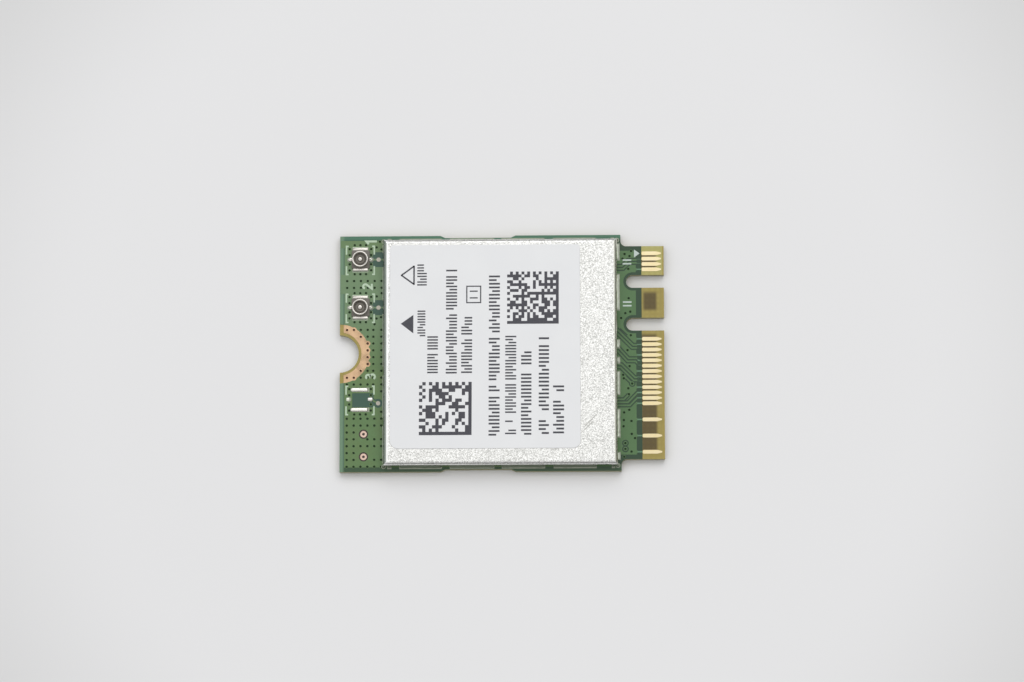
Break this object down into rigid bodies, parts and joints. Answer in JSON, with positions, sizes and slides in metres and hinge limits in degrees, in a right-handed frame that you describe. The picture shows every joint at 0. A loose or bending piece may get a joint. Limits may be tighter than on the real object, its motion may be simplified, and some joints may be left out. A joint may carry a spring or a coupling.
{
  "type": "plug-in wireless network card",
  "caption": "Small plug-in wireless network card: green circuit board with gold edge contacts and key notches, tinned shield can with a label, coaxial antenna sockets and a screw notch.",
  "frame": {"origin": "on the underside plane, below the middle of the board's 22 x 30 mm outline", "axes": "+X towards the card edge with the contacts, +Y across the card towards the first key notch, +Z out of the component side"},
  "size_m": [0.03, 0.022, 0.0022],
  "materials": {
    "laminate": "satin",
    "solder_mask": "semi gloss",
    "bare_copper": "bare",
    "gold_plating": "polished",
    "tinned_copper": "satin",
    "solder": "bright",
    "tinned_sheet": "crystalline tin",
    "label_film": "matte",
    "socket_metal": "plated",
    "socket_moulding": "matte",
    "chip_moulding": "matte",
    "chip_ceramic": "unglazed",
    "crystal_metal": "satin",
    "ferrite": "matte"
  },
  "bodies": {
    "root": {"circuit_board": "laminate", "solder_mask_top": "solder_mask", "solder_mask_bottom": "solder_mask", "mount_pad_top": "bare_copper", "mount_pad_bottom": "bare_copper", "edge_contacts_top": "gold_plating", "edge_contacts_bottom": "gold_plating", "component_lands": "tinned_copper", "test_pads": "bare_copper", "feed_test_points": "solder", "shield_can": "tinned_sheet", "shield_solder": "solder", "shield_label": "label_film", "receptacle_1_shell": "socket_metal", "receptacle_1_insulator": "socket_moulding", "receptacle_1_pin": "socket_metal", "receptacle_2_shell": "socket_metal", "receptacle_2_insulator": "socket_moulding", "receptacle_2_pin": "socket_metal", "receptacle_solder": "solder", "spare_socket_solder": "solder", "radio_chip": "chip_moulding", "radio_chip_leads": "tinned_copper", "crystal_base": "chip_ceramic", "crystal_lid": "crystal_metal", "front_end_module_1": "chip_moulding", "front_end_module_2": "chip_moulding", "band_filters": "chip_ceramic", "power_inductors": "ferrite", "inductor_ends": "tinned_copper", "capacitors": "chip_ceramic", "capacitor_ends": "tinned_copper", "resistors": "ferrite", "resistor_ends": "tinned_copper", "memory_chip": "chip_moulding", "memory_chip_leads": "tinned_copper"}
  },
  "joints": []
}
